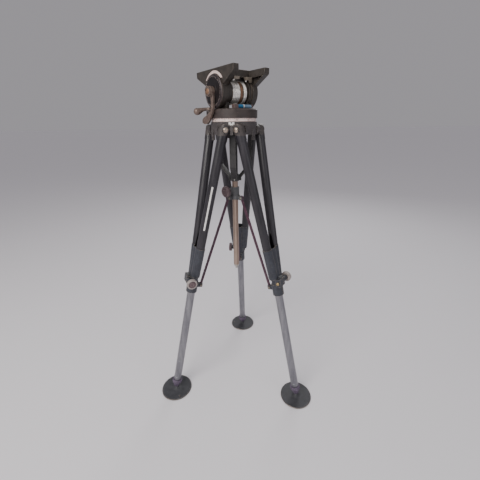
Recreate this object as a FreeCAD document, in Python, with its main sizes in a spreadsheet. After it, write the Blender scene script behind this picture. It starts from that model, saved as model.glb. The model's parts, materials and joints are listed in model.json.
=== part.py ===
import FreeCAD, Part
import math
import os
import Sketcher

# Heavy tripod with a spring-counterbalanced pan and tilt head.
# Row frame: millimetres, +Z up, origin on the floor on the column's axis, rear leg along +Y.

Vector = FreeCAD.Vector
Rotation = FreeCAD.Rotation
Placement = FreeCAD.Placement

document = FreeCAD.newDocument("camera_tripod")
sheet = document.addObject("Spreadsheet::Sheet", "dims")

DIMENSIONS = [
    # head: pan turntable and ring
    ("pan_angle", 42.7, "rest heading of the tilt axle, degrees from +X"),
    ("hub_radius", 68.8, "hub drum"),
    ("hub_bottom", 937.0, "underside of the hub drum"),
    ("hub_top", 971.0, "top of the hub drum"),
    ("hub_cavity_radius", 58.0, "hollow under the hub"),
    ("hub_roof", 10.0, "thickness of metal over the hollow"),
    ("ring_radius", 66.5, "graduated pan ring"),
    ("ring_bore", 40.0, "bore of the pan ring, round the turntable's boss"),
    ("ring_bottom", 971.5, "underside of the pan ring"),
    ("ring_top", 980.8, "top of the pan ring"),
    ("table_radius", 70.0, "turntable"),
    ("table_top", 1005.5, "top of the turntable"),
    ("hub_boss_radius", 20.0, "middle boss of the hub"),
    ("hub_boss_bottom", 926.0, "underside of the hub's middle boss"),
    ("stud_radius", 14.0, "pan stud"),
    ("stud_bottom", 948.0, "lower end of the pan stud"),
    ("stud_top", 1000.0, "underside of the pan stud's head"),
    ("washer_radius", 38.0, "pan thrust washer, outside"),
    ("washer_bore", 24.5, "pan thrust washer, inside"),
    ("washer_recess", 2.0, "depth of the washer's seat in the hub"),
    ("fit_gap", 0.05, "radial clearance of running fits"),
    # head: tilt axle, uprights and cradle
    ("axle_height", 1048.0, "tilt axle above the floor"),
    ("axle_radius", 9.0, "tilt axle"),
    ("disc_radius", 42.2, "tilt brake disc"),
    ("disc_thickness", 6.0, "tilt brake disc"),
    ("cheek_left_outer", 65.0, "outer face of the left cheek, left of the pan axis"),
    ("cheek_right_outer", 58.0, "outer face of the right cheek, right of the pan axis"),
    ("cheek_thickness", 18.0, "cradle cheeks"),
    ("cheek_front", 87.0, "cradle cheeks, axle to front end"),
    ("cheek_back", 91.0, "cradle cheeks, axle to back end"),
    ("cheek_top", 56.0, "top of the cheeks above the axle"),
    ("cheek_edge", 41.0, "lower corner of the cheek ends above the axle"),
    ("cheek_boss", 41.5, "round lower part of the cheeks"),
    ("upright_radius", 37.0, "round tops of the uprights"),
    ("bridge_half_width", 24.0, "camera platform, front to back"),
    ("bridge_thickness", 18.0, "camera platform"),
    ("screw_radius", 4.76, "camera screw"),
    ("spring_radius", 32.0, "counterbalance springs, outside"),
    ("spring_bore", 22.0, "counterbalance springs, inside"),
    ("left_spring_start", 26.0, "left spring's outer end, left of the pan axis"),
    ("plate_left", 4.5, "left face of the middle spring plate, right of the pan axis"),
    ("plate_right", 13.0, "right face of the middle spring plate"),
    ("right_spring_end", 30.0, "right spring's outer end"),
    # legs
    ("pivot_radius", 56.1, "leg pivot axis from the column axis"),
    ("pivot_height", 950.0, "leg pivot axis above the floor"),
    ("leg_lean", 12.9, "legs from the vertical, degrees"),
    ("tube_top_half", 54.0, "half distance between a leg's tubes at the pivot"),
    ("tube_converge", 0.0845, "sideways closing of each tube per length along the leg"),
    ("tube_radius", 14.0, "upper tubes"),
    ("tube_wall", 1.6, "upper and lower tubes"),
    ("tube_end", 450.0, "end of the upper tubes along the leg"),
    ("fitting_radius", 15.0, "end fittings on the upper tubes"),
    ("fitting_length", 30.0, "end fittings below the pivot"),
    ("boss_radius", 10.5, "pivot bolt bosses"),
    ("hub_face", 39.5, "hub's pivot faces from the leg's middle plane"),
    ("fitting_face", 68.0, "outer faces of the end fittings from the leg's middle plane"),
    ("bolt_radius", 5.0, "pivot bolts"),
    ("yoke_top", 367.0, "top of the leg casting along the leg"),
    ("yoke_bottom", 536.0, "bottom of the leg casting along the leg"),
    ("yoke_sleeve", 16.5, "middle sleeve of the leg casting"),
    ("yoke_collar", 18.8, "thick lower end of the leg casting"),
    ("socket_radius", 15.4, "tube sockets of the leg casting"),
    ("relief_radius", 14.2, "passage for the sliding tube"),
    ("lower_radius", 13.6, "sliding lower tube"),
    ("lower_top", 385.0, "top of the lower tube along the leg"),
    ("lower_bottom", 940.0, "bottom of the lower tube along the leg"),
    ("lock_along", 487.7, "leg lock screw along the leg"),
    ("lock_out", 17.0, "leg lock screw outward of the leg axis"),
    ("lock_screw_radius", 3.0, "leg lock screw"),
    ("knob_radius", 17.5, "leg lock knob"),
    ("knob_thickness", 12.0, "leg lock knob"),
    ("knob_seat", 36.0, "leg lock knob's inner face from the leg axis"),
    # spreader
    ("arm_outer_along", 513.2, "arm pivot on the leg casting, along the leg"),
    ("arm_outer_in", 30.4, "arm pivot on the leg casting, inward of the leg axis"),
    ("arm_length", 320.7, "spreader arm between pins"),
    ("arm_angle", 21.2, "spreader arm from the vertical, degrees"),
    ("arm_width", 8.0, "spreader arm"),
    ("arm_thickness", 4.0, "spreader arm"),
    ("collar_pin_radial", 25.0, "collar pins from the column axis"),
    ("collar_pin_height", 742.0, "collar pins above the floor"),
    ("collar_pin", 2.5, "collar pins"),
    ("eye_clearance", 3.3, "play of the arm's eye on the collar pin"),
    ("column_radius", 9.5, "centre column"),
    ("column_bottom", 493.0, "bottom of the centre column"),
    ("column_top", 945.0, "top of the centre column, inside the hub"),
    # foot
    ("ball_height", 19.0, "foot ball's centre above the floor"),
    ("ball_radius", 8.0, "foot ball"),
    ("pad_radius", 57.0, "foot pad"),
    ("pad_thickness", 4.0, "foot pad"),
]


class Size:
    """A length that knows its value and the spreadsheet expression it comes from."""

    def __init__(self, value, text):
        self.value = value
        self.text = text

    def joined(self, other, sign, value):
        return Size(value, "(%s %s %s)" % (self.text, sign, sized(other).text))

    def __add__(self, other):
        return self.joined(other, "+", self.value + sized(other).value)

    def __radd__(self, other):
        return sized(other) + self

    def __sub__(self, other):
        return self.joined(other, "-", self.value - sized(other).value)

    def __rsub__(self, other):
        return sized(other) - self

    def __mul__(self, other):
        return self.joined(other, "*", self.value * sized(other).value)

    def __rmul__(self, other):
        return sized(other) * self

    def __truediv__(self, other):
        return self.joined(other, "/", self.value / sized(other).value)

    def __neg__(self):
        return Size(-self.value, "(-1 * %s)" % self.text)


def sized(number):
    """Turn a plain number into a Size, and leave a Size as it is."""
    if isinstance(number, Size):
        return number
    return Size(float(number), "(%.6f)" % number)


class Dimensions:
    """The driving dimensions, one attribute for each cell of the sheet."""

    def __init__(self):
        for row, (alias, value, note) in enumerate(DIMENSIONS, start=1):
            sheet.set("A%d" % row, note)
            sheet.set("B%d" % row, str(value))
            sheet.setAlias("B%d" % row, alias)
            setattr(self, alias, Size(value, "dims." + alias))


d = Dimensions()
document.recompute()

ORIGIN = Placement()
HEAD = Placement(Vector(0, 0, 0), Rotation(Vector(0, 0, 1), d.pan_angle.value))
AXLE_ALONG_X = Rotation(Vector(0, 1, 0), 90)
LEG_AZIMUTHS = {"rear": 90.0, "left": 210.0, "right": 330.0}
LOBE_AZIMUTHS = (270.0, 30.0, 150.0)
nodes = []


# ---------------------------------------------------------------- helpers

def set_size(thing, prop, size):
    """Set a property from a Size and bind it to the sheet."""
    setattr(thing, prop, sized(size).value)
    thing.setExpression(prop, sized(size).text)


def move(thing, x=0, y=0, z=0, turn=None):
    """Place a building block, with its position bound to the sheet."""
    thing.Placement = Placement(Vector(*[sized(v).value for v in (x, y, z)]), turn or Rotation())
    for axis, value in (("x", x), ("y", y), ("z", z)):
        if isinstance(value, Size):
            thing.setExpression("Placement.Base." + axis, value.text)
    return thing


def cylinder(radius, height, x=0, y=0, z=0, turn=None):
    thing = document.addObject("Part::Cylinder", "Cylinder")
    set_size(thing, "Radius", radius)
    set_size(thing, "Height", height)
    return move(thing, x, y, z, turn)


def cone(bottom, top, height, x=0, y=0, z=0, turn=None):
    thing = document.addObject("Part::Cone", "Cone")
    set_size(thing, "Radius1", bottom)
    set_size(thing, "Radius2", top)
    set_size(thing, "Height", height)
    return move(thing, x, y, z, turn)


def ball(radius, x=0, y=0, z=0):
    thing = document.addObject("Part::Sphere", "Sphere")
    set_size(thing, "Radius", radius)
    return move(thing, x, y, z)


def box(low, high):
    """A box between two corners."""
    thing = document.addObject("Part::Box", "Box")
    for prop, first, last in zip(("Length", "Width", "Height"), low, high):
        set_size(thing, prop, sized(last) - first)
    return move(thing, *low)


def fused(parts):
    if len(parts) == 1:
        return parts[0]
    thing = document.addObject("Part::MultiFuse", "Fusion")
    thing.Shapes = parts
    thing.Refine = True
    return thing


def cut(base, tools):
    thing = document.addObject("Part::Cut", "Cut")
    thing.Base = base
    thing.Tool = fused(tools)
    thing.Refine = True
    return thing


def common(parts):
    thing = document.addObject("Part::MultiCommon", "Common")
    thing.Shapes = parts
    return thing


def group(parts):
    """Several solids that share one node."""
    thing = document.addObject("Part::Compound", "Group")
    thing.Links = parts
    return thing


def sketch_on(body, role):
    """An empty sketch on one of the body's own origin planes."""
    plane = [item for item in body.Origin.OriginFeatures if item.Role == role][0]
    sketch = body.newObject("Sketcher::SketchObject", "Sketch")
    sketch.AttachmentSupport = [(plane, "")]
    sketch.MapMode = "FlatFace"
    return sketch


def draw_polygon(sketch, corners):
    """Draw a closed outline whose corners are bound to the sheet."""
    points = [Vector(sized(x).value, sized(y).value, 0) for x, y in corners]
    first = sketch.GeometryCount
    for index, start in enumerate(points):
        end = points[(index + 1) % len(points)]
        sketch.addGeometry(Part.LineSegment(start, end), False)
    for index, corner in enumerate(corners):
        line = first + index
        following = first + (index + 1) % len(points)
        sketch.addConstraint(Sketcher.Constraint("Coincident", line, 2, following, 1))
        for kind, size in (("DistanceX", corner[0]), ("DistanceY", corner[1])):
            value = sized(size).value
            number = sketch.addConstraint(Sketcher.Constraint(kind, -1, 1, line, 1, value))
            if isinstance(size, Size):
                sketch.setExpression("Constraints[%d]" % number, size.text)


def draw_circle(sketch, x, y, radius):
    """Draw a circle whose centre and radius are bound to the sheet."""
    centre = Vector(sized(x).value, sized(y).value, 0)
    circle = sketch.addGeometry(Part.Circle(centre, Vector(0, 0, 1), sized(radius).value), False)
    for kind, size in (("DistanceX", x), ("DistanceY", y)):
        number = sketch.addConstraint(
            Sketcher.Constraint(kind, -1, 1, circle, 3, sized(size).value))
        if isinstance(size, Size):
            sketch.setExpression("Constraints[%d]" % number, size.text)
    number = sketch.addConstraint(Sketcher.Constraint("Radius", circle, sized(radius).value))
    sketch.setExpression("Constraints[%d]" % number, sized(radius).text)


def turned(corners):
    """A body turned about Z from (radius, height) corners."""
    body = document.addObject("PartDesign::Body", "Turned")
    sketch = sketch_on(body, "XZ_Plane")
    draw_polygon(sketch, corners)
    document.recompute()
    feature = body.newObject("PartDesign::Revolution", "Revolution")
    feature.Profile = sketch
    feature.ReferenceAxis = (sketch, ["V_Axis"])
    feature.Angle = 360.0
    body.Tip = feature
    return body


def padded(role, corners, thickness, circles=()):
    """A body padded from an outline, half of its thickness on each side of the plane."""
    body = document.addObject("PartDesign::Body", "Padded")
    sketch = sketch_on(body, role)
    draw_polygon(sketch, corners)
    for circle in circles:
        draw_circle(sketch, *circle)
    document.recompute()
    feature = body.newObject("PartDesign::Pad", "Pad")
    feature.Profile = sketch
    feature.Midplane = True
    set_size(feature, "Length", thickness)
    body.Tip = feature
    return body


def rounded(body, radius, wanted):
    """Round the edges of a body's last feature that pass a test."""
    document.recompute()
    base = body.Tip
    names = ["Edge%d" % (i + 1) for i, edge in enumerate(base.Shape.Edges) if wanted(edge)]
    feature = body.newObject("PartDesign::Fillet", "Fillet")
    feature.Base = (base, names)
    set_size(feature, "Radius", radius)
    body.Tip = feature
    return body


def carried(thing, placement):
    """Carry a shape to another place as a whole, with its own position still bound."""
    carrier = document.addObject("Part::Compound", "Carried")
    carrier.Links = [thing]
    carrier.Placement = placement
    return carrier


def node(name, thing, frame=ORIGIN):
    """Name a finished sub-part and put it in its frame."""
    document.recompute()
    part = carried(thing, frame) if thing.ExpressionEngine else thing
    if part is thing:
        part.Placement = frame.multiply(part.Placement)
    part.Label = name
    nodes.append(part)


def along_x(first, last, radius, y=0, z=0):
    """A cylinder whose axis runs along X."""
    return cylinder(radius, sized(last) - first, first, y, z, AXLE_ALONG_X)


def about_z(azimuth):
    return Placement(Vector(0, 0, 0), Rotation(Vector(0, 0, 1), azimuth))


# ---------------------------------------------------------------- hub, cage and column

def leg_turn(azimuth):
    """Turn a shape drawn for the rear leg, along +Y, to another azimuth."""
    return about_z(azimuth - 90.0)


def make_hub():
    """Hollow drum with pivot bosses for the legs, ribs between legs and strap lugs."""
    drum = cylinder(d.hub_radius, d.hub_top - d.hub_bottom, 0, 0, d.hub_bottom)
    cavity_height = d.hub_top - d.hub_bottom - d.hub_roof
    hollows = [cylinder(d.hub_cavity_radius, cavity_height, 0, 0, d.hub_bottom)]
    additions = [cylinder(d.hub_boss_radius, d.hub_top - d.hub_boss_bottom, 0, 0, d.hub_boss_bottom)]
    holes = [
        cylinder(d.stud_radius, 30, 0, 0, d.stud_bottom),
        cylinder(d.column_radius, 30, 0, 0, d.hub_boss_bottom - 5),
        cut(cylinder(d.washer_radius + 0.5, 3, 0, 0, d.hub_top - d.washer_recess),
            [cylinder(d.washer_bore - 0.5, 3, 0, 0, d.hub_top - d.washer_recess)]),
    ]
    reach = 14.5
    clearance = d.fitting_radius + 1.5
    for azimuth in LEG_AZIMUTHS.values():
        turn = leg_turn(azimuth)
        for side in (-1, 1):
            boss_start = d.hub_face - reach if side > 0 else -d.hub_face
            at_pivot = (d.pivot_radius, d.pivot_height)
            boss = along_x(boss_start, boss_start + reach, d.tube_radius, *at_pivot)
            additions.append(carried(boss, turn))
            hole = along_x(boss_start - 1, boss_start + reach + 1, d.bolt_radius, *at_pivot)
            holes.append(carried(hole, turn))
            outside = sized(d.hub_face if side > 0 else -d.hub_face - 30)
            swing = along_x(outside, outside + 30, clearance, *at_pivot)
            well = box((outside, d.pivot_radius - clearance, d.hub_bottom - 5),
                       (outside + 30, d.pivot_radius + 40, d.pivot_height))
            hollows += [carried(swing, turn), carried(well, turn)]
        lug = box((-6.5, d.hub_radius - 4, 922), (6.5, d.hub_radius + 2, 950))
        additions.append(carried(lug, turn))
        eyelet = cylinder(2.6, 12, 0, d.hub_radius - 6, 930, Rotation(Vector(1, 0, 0), -90))
        holes.append(carried(eyelet, turn))
    for azimuth in LOBE_AZIMUTHS:
        rib = box((-4, d.hub_radius - 6, d.hub_bottom), (4, 78, d.hub_top - 11.5))
        additions.append(carried(rib, leg_turn(azimuth)))
    shell = cut(drum, hollows)
    node("hub_casting", cut(fused([shell] + additions), holes))


def make_cage():
    """Three bent straps from inside the hub to a bush on the column."""
    middle = [(55.2, 961), (55.2, 846), (17, 808), (17, 797)]
    thick = 4.0
    outline = [
        (middle[0][0] - thick / 2, middle[0][1]),
        (middle[1][0] - thick / 2, middle[1][1] + 0.8),
        (middle[2][0] - thick / 2, middle[2][1] + 0.8),
        (middle[3][0] - thick / 2, middle[3][1]),
        (middle[3][0] + thick / 2, middle[3][1]),
        (middle[2][0] + thick / 2, middle[2][1] - 0.8),
        (middle[1][0] + thick / 2, middle[1][1] - 0.8),
        (middle[0][0] + thick / 2, middle[0][1]),
    ]
    straps = []
    for azimuth in LOBE_AZIMUTHS:
        strap = padded("XZ_Plane", outline, 18)
        strap.Placement = about_z(azimuth)
        straps.append(strap)
    node("cage_straps", group(straps))
    bush = cut(cylinder(15, 20, 0, 0, 797), [cylinder(d.column_radius, 24, 0, 0, 795)])
    node("cage_bush", bush)


def make_column():
    tube = cut(
        cylinder(d.column_radius, d.column_top - d.column_bottom, 0, 0, d.column_bottom),
        [cylinder(d.column_radius - 2, d.column_top - d.column_bottom, 0, 0, d.column_bottom)])
    node("centre_column", tube)
    plug = fused([
        cylinder(d.column_radius - 2, 12, 0, 0, d.column_bottom),
        cylinder(d.column_radius - 1, 6, 0, 0, d.column_bottom - 6),
        cylinder(4, 12, 0, 0, d.column_bottom - 16),
    ])
    node("column_end_plug", cut(plug, [along_x(-12, 12, 2, 0, d.column_bottom - 11)]))


def make_pan_bearing():
    stud = fused([
        cylinder(d.stud_radius, d.stud_top - d.stud_bottom, 0, 0, d.stud_bottom),
        cylinder(20, 3.5, 0, 0, d.stud_top),
    ])
    node("pan_stud", stud)
    washer_bottom = d.hub_top - d.washer_recess
    washer = cut(cylinder(d.washer_radius, 2.4, 0, 0, washer_bottom),
                 [cylinder(d.washer_bore, 3, 0, 0, washer_bottom - 0.3)])
    node("pan_thrust_washer", washer)
    pointer = fused([
        box((-4.5, -d.hub_radius - 2.5, 962), (4.5, -d.hub_radius + 1, 970)),
        box((-8, -d.hub_radius - 1.5, 964), (8, -d.hub_radius + 1.5, 970)),
    ])
    node("pan_pointer", cut(pointer, [cylinder(d.hub_radius, 20, 0, 0, 955)]))


def make_pivot_bolts():
    bolts = []
    for azimuth in LEG_AZIMUTHS.values():
        for side in (-1, 1):
            shank_start = d.hub_face - 13 if side > 0 else -71
            shank = along_x(shank_start, shank_start + 44.5, d.bolt_radius,
                            d.pivot_radius, d.pivot_height)
            head_start = 68.5 if side > 0 else -73.5
            head = along_x(head_start, head_start + 5, 8.5, d.pivot_radius, d.pivot_height)
            bolts.append(carried(fused([shank, head]), leg_turn(azimuth)))
    node("leg_pivot_bolts", group(bolts))


# ---------------------------------------------------------------- head on the turntable

LEVER_ROOT = (-65.3, 30.4)


def make_turntable():
    edge = 3.0
    table = turned([
        (d.stud_radius + d.fit_gap, d.ring_bottom),
        (d.ring_bore, d.ring_bottom),
        (d.ring_bore, d.ring_top),
        (d.table_radius, d.ring_top),
        (d.table_radius, d.table_top - edge),
        (d.table_radius - edge, d.table_top),
        (20.5, d.table_top),
        (20.5, d.stud_top - 0.2),
        (d.stud_radius + d.fit_gap, d.stud_top - 0.2),
    ])
    boss = cut(cylinder(9, 15, LEVER_ROOT[0], LEVER_ROOT[1], 986),
               [box((-90, 0, 980), (-72.4, 60, 1010))])
    thread = cylinder(4 + d.fit_gap, 22, LEVER_ROOT[0], LEVER_ROOT[1], 984)
    seat = cylinder(9, 8, LEVER_ROOT[0], LEVER_ROOT[1], 1003)
    node("turntable", cut(fused([table, boss]), [thread, seat]), HEAD)
    ring = turned([
        (d.ring_bore, d.ring_bottom),
        (d.ring_radius, d.ring_bottom),
        (d.ring_radius, d.ring_top),
        (d.ring_bore, d.ring_top),
    ])
    node("pan_scale_ring", ring, HEAD)


def make_uprights():
    left = fused([
        along_x(-46.5, -34, d.upright_radius, 0, d.axle_height),
        box((-46.5, -26, d.table_top), (-34, 26, d.axle_height)),
        along_x(-34, -d.left_spring_start, 30, 0, d.axle_height),
    ])
    node("left_upright", cut(left, [along_x(-50, 0, d.axle_radius, 0, d.axle_height)]), HEAD)
    right_face = d.cheek_right_outer - d.cheek_thickness - 0.5
    right = fused([
        along_x(d.right_spring_end + 0.5, right_face, d.upright_radius, 0, d.axle_height),
        box((d.right_spring_end + 0.5, -26, d.table_top), (right_face, 26, d.axle_height)),
    ])
    node("right_upright", cut(right, [along_x(20, 50, d.axle_radius, 0, d.axle_height)]), HEAD)


def make_axle():
    node("tilt_axle", along_x(-88, 56, d.axle_radius, 0, d.axle_height), HEAD)
    face = -d.cheek_left_outer - 0.6
    rim = along_x(face - d.disc_thickness + 2, face, d.disc_radius, 0, d.axle_height)
    bevel = cone(d.disc_radius - 3, d.disc_radius, 2, face - d.disc_thickness, 0,
                 d.axle_height, AXLE_ALONG_X)
    hole = along_x(-90, -50, d.axle_radius, 0, d.axle_height)
    node("brake_disc", cut(fused([rim, bevel]), [hole]), HEAD)


def make_springs():
    """Close-wound springs round the axle, drawn as ribbed sleeves."""
    spans = {
        "left_spring": (-d.left_spring_start, d.plate_left, 7),
        "right_spring": (d.plate_right, d.right_spring_end, 4),
    }
    groove = 1.2
    for name, (start, end, turns) in spans.items():
        pitch = (end - start) / turns
        corners = [(d.spring_bore, start)]
        for turn in range(turns):
            corners.append((d.spring_radius - groove, start + pitch * turn))
            corners.append((d.spring_radius, start + pitch * (turn + 0.25)))
            corners.append((d.spring_radius, start + pitch * (turn + 0.75)))
        corners.append((d.spring_radius - groove, end))
        corners.append((d.spring_bore, end))
        sleeve = turned(corners)
        sleeve.Placement = Placement(Vector(0, 0, d.axle_height.value), AXLE_ALONG_X)
        node(name, sleeve, HEAD)
    plate = cut(
        along_x(d.plate_left, d.plate_right, d.spring_radius - 3, 0, d.axle_height),
        [along_x(-20, 20, d.axle_radius, 0, d.axle_height)])
    node("spring_plate", plate, HEAD)


def make_level():
    level_y = -46.0
    vial_start = -22.3
    vial_end = 26.5
    top = d.table_top + 10.5
    base = group([
        box((vial_start - 14.2, level_y - 6, d.table_top), (vial_start, level_y + 6, top)),
        box((vial_end, level_y - 6, d.table_top), (vial_end + 3, level_y + 6, top)),
    ])
    node("level_base", base, HEAD)
    vial_radius = 5.2
    vial_height = d.table_top + vial_radius + 0.1
    node("level_vial", along_x(vial_start, vial_end, vial_radius, level_y, vial_height), HEAD)


# ---------------------------------------------------------------- cradle

def make_cheek(name, inner, outer, bore_end):
    """A wing-shaped cheek with a round boss and two pockets on its inner side."""
    middle = (inner + outer) / 2
    wing = padded("YZ_Plane", [
        (-d.cheek_front, d.cheek_top),
        (-d.cheek_front, d.cheek_edge),
        (-36, 13),
        (36, 13),
        (d.cheek_back, d.cheek_edge),
        (d.cheek_back, d.cheek_top),
    ], d.cheek_thickness)

    def end_corner(edge):
        low, high = edge.BoundBox.YMin, edge.BoundBox.YMax
        is_across = high - low < 0.01 and abs(edge.BoundBox.ZMin - edge.BoundBox.ZMax) < 0.01
        return is_across and abs(low) > 80 and edge.BoundBox.ZMin < d.cheek_top.value - 5

    rounded(wing, 7, end_corner)
    wing.Placement = Placement(Vector(middle, 0, d.axle_height.value), Rotation())
    boss = along_x(middle - d.cheek_thickness / 2, middle + d.cheek_thickness / 2,
                   d.cheek_boss, 0, d.axle_height)
    pockets = []
    for side in (-1, 1):
        pocket = padded("YZ_Plane", [
            (side * 34.0, 37.5),
            (side * 75.5, 37.5),
            (side * 34.0, 16.2),
        ], 20)
        pocket.Placement = Placement(Vector(inner, 0, d.axle_height.value), Rotation())
        pockets.append(pocket)
    bore = along_x(bore_end[0], bore_end[1], d.axle_radius + d.fit_gap, 0, d.axle_height)
    node(name, cut(fused([wing, boss]), pockets + [bore]), HEAD)


def make_cradle():
    left_inner = -d.cheek_left_outer.value + d.cheek_thickness.value
    make_cheek("left_cheek", left_inner, -d.cheek_left_outer.value, (-70, -40))
    right_inner = d.cheek_right_outer.value - d.cheek_thickness.value
    make_cheek("right_cheek", right_inner, d.cheek_right_outer.value, (30, 62))
    top = d.axle_height + d.cheek_top
    bridge = box((left_inner, -d.bridge_half_width, top - d.bridge_thickness),
                 (right_inner, d.bridge_half_width, top))
    node("camera_platform", cut(bridge, [cylinder(d.screw_radius + d.fit_gap, 30, 0, 0, top - 25)]), HEAD)
    outside = -d.cheek_left_outer
    sector = cut(
        along_x(outside - 0.8, outside, 50, 0, d.axle_height),
        [
            along_x(-70, -60, 43.5, 0, d.axle_height),
            box((-70, -60, d.axle_height - 60), (-60, 60, d.axle_height + 30)),
        ])
    node("tilt_scale_arc", sector, HEAD)
    left_block = fused([
        box((-22, -34, d.axle_height + 31), (-3, -25, d.axle_height + 38)),
        box((-22, -26, d.axle_height + 36), (-3, -20, d.axle_height + 38)),
    ])
    right_block = fused([
        box((20.5, -36, d.axle_height + 30), (right_inner, -25, d.axle_height + 38)),
        box((31, -36, d.axle_height + 25), (right_inner, -30.5, d.axle_height + 38)),
        box((20.5, -26, d.axle_height + 36), (right_inner, -20, d.axle_height + 38)),
    ])
    node("spring_anchors", group([left_block, right_block]), HEAD)
    screw_bottom = top - d.bridge_thickness - 4.2
    screw = fused([
        cylinder(14, 3.8, 0, 0, screw_bottom),
        cylinder(d.screw_radius - 0.4, d.bridge_thickness + 5.2, 0, 0, screw_bottom),
        cylinder(d.screw_radius, 11, 0, 0, top + 1),
    ])
    node("camera_screw", screw, HEAD)


# ---------------------------------------------------------------- head levers

def make_levers():
    boss = along_x(-84, -72.4, 13, 0, d.axle_height)
    arm = padded("YZ_Plane", [
        (-12, 0), (-11, -24), (-10, -40), (-7, -49), (4, -65), (16, -77), (25, -82), (40, -82),
        (48.5, -78), (48.5, -70), (40, -64), (21, -58), (2, -49), (-0.7, -39), (-2, -24), (4, 0),
    ], 7)
    arm.Placement = Placement(Vector(-76.5, 0, d.axle_height.value), Rotation())
    bore = along_x(-90, -60, d.axle_radius + d.fit_gap, 0, d.axle_height)
    node("tilt_lock_lever", cut(fused([boss, arm]), [bore]), HEAD)
    hexagon = document.addObject("Part::Prism", "Prism")
    hexagon.Polygon = 6
    set_size(hexagon, "Circumradius", 13)
    set_size(hexagon, "Height", 5.5)
    move(hexagon, -89.5, 0, d.axle_height, AXLE_ALONG_X)
    thread = along_x(-100, -80, d.axle_radius + d.fit_gap, 0, d.axle_height)
    node("tilt_lock_nut", cut(hexagon, [thread]), HEAD)
    heading = math.degrees(math.atan2(LEVER_ROOT[1], LEVER_ROOT[0]))
    tail = Rotation(Vector(0, 1, 0), 97)
    stem = cone(4, 5.5, 18, 4, 0, 1007, tail)
    grip = ball(9.8, 36, 0, 999.8)
    neck = cone(4.8, 9.2, 17, 18, 0, 1004.8, Rotation(Vector(0, 1, 0), 106))
    head = cylinder(8, 7, 0, 0, 1003.5)
    shank = cylinder(4, 18, 0, 0, 987)
    lever = fused([head, shank, stem, neck, grip])
    turn = Placement(Vector(LEVER_ROOT[0], LEVER_ROOT[1], 0), Rotation(Vector(0, 0, 1), heading))
    node("pan_lock_lever", lever, HEAD.multiply(turn))


# ---------------------------------------------------------------- collar

KNOB_AZIMUTH = 228.0


def make_collar():
    body = fused([
        cylinder(13.5, 28, 0, 0, 749),
        cylinder(16, 12, 0, 0, 737),
    ])
    ears = [body]
    for azimuth in LEG_AZIMUTHS.values():
        for side in (-1, 1):
            inner = 2.6 if side > 0 else -5.6
            ear = fused([
                box((inner, 8, d.collar_pin_height - 6), (inner + 3, d.collar_pin_radial, 748)),
                along_x(inner, inner + 3, 6, d.collar_pin_radial, d.collar_pin_height),
            ])
            ears.append(carried(ear, leg_turn(azimuth)))
        pin = along_x(-7, 7, d.collar_pin, d.collar_pin_radial, d.collar_pin_height)
        ears.append(carried(pin, leg_turn(azimuth)))
    toward_knob = leg_turn(KNOB_AZIMUTH)
    boss = cylinder(7, 12, 0, 10, 766, Rotation(Vector(1, 0, 0), -90))
    ears.append(carried(boss, toward_knob))
    cuts = [cylinder(d.column_radius + d.fit_gap, 50, 0, 0, 730)]
    thread = cylinder(2.55, 30, 0, 5, 766, Rotation(Vector(1, 0, 0), -90))
    cuts.append(carried(thread, toward_knob))
    for azimuth in LEG_AZIMUTHS.values():
        slot = box((-2.6, 12.5, 730), (2.6, d.collar_pin_radial - d.collar_pin - 0.2, 755))
        cuts.append(carried(slot, leg_turn(azimuth)))
    node("spreader_collar", cut(fused(ears), cuts))
    knob = fused([
        cylinder(2.5, 25, 0, 10, 766, Rotation(Vector(1, 0, 0), -90)),
        cylinder(8, 8, 0, 26, 766, Rotation(Vector(1, 0, 0), -90)),
        cylinder(18, 11, 0, 34, 766, Rotation(Vector(1, 0, 0), -90)),
    ])
    node("collar_knob", knob, toward_knob)


# ---------------------------------------------------------------- legs

def leg_frame(azimuth):
    """Leg frame: origin on the pivot axis, X across, Y outward, Z up along the leg."""
    lean = Rotation(Vector(1, 0, 0), d.leg_lean.value)
    return leg_turn(azimuth).multiply(
        Placement(Vector(0, d.pivot_radius.value, d.pivot_height.value), lean))


def upper_tube(side, radius, start, end):
    """A cylinder along one of the two converging tubes, between two stations."""
    angle = math.degrees(math.atan(d.tube_converge.value))
    lean = Rotation(Vector(0, 1, 0), 180 + side * angle)
    across = d.tube_top_half - d.tube_converge * start
    length = (sized(end) - start) * math.hypot(1, d.tube_converge.value)
    return cylinder(radius, length, across * side, 0, -sized(start), lean)


def make_upper_leg(name, frame):
    tubes = []
    for side in (-1, 1):
        tubes.append(cut(
            upper_tube(side, d.tube_radius, 18, d.tube_end),
            [
                upper_tube(side, d.tube_radius - d.tube_wall, 10, d.tube_end + 20),
                cylinder(d.relief_radius, 250, 0, 0, -500),
            ]))
    node(name + "_upper_tubes", group(tubes), frame)
    fittings = []
    for side in (-1, 1):
        start = d.hub_face + 0.5 if side > 0 else -d.fitting_face
        end = d.fitting_face if side > 0 else -d.hub_face - 0.5
        eye = along_x(start, end, d.boss_radius)
        knuckle = common([
            upper_tube(side, d.fitting_radius, -18, 18),
            along_x(start, end, d.fitting_radius + 0.4),
        ])
        socket = upper_tube(side, d.fitting_radius, 4, d.fitting_length)
        between_faces = box((start, -20, -60), (end, 20, 20))
        bolt_hole = along_x(-80, 80, d.bolt_radius + d.fit_gap)
        bore = upper_tube(side, d.tube_radius, 18, d.fitting_length + 5)
        blank = common([fused([eye, knuckle, socket]), between_faces])
        fittings.append(cut(blank, [bolt_hole, bore]))
    node(name + "_tube_fittings", group(fittings), frame)


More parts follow.
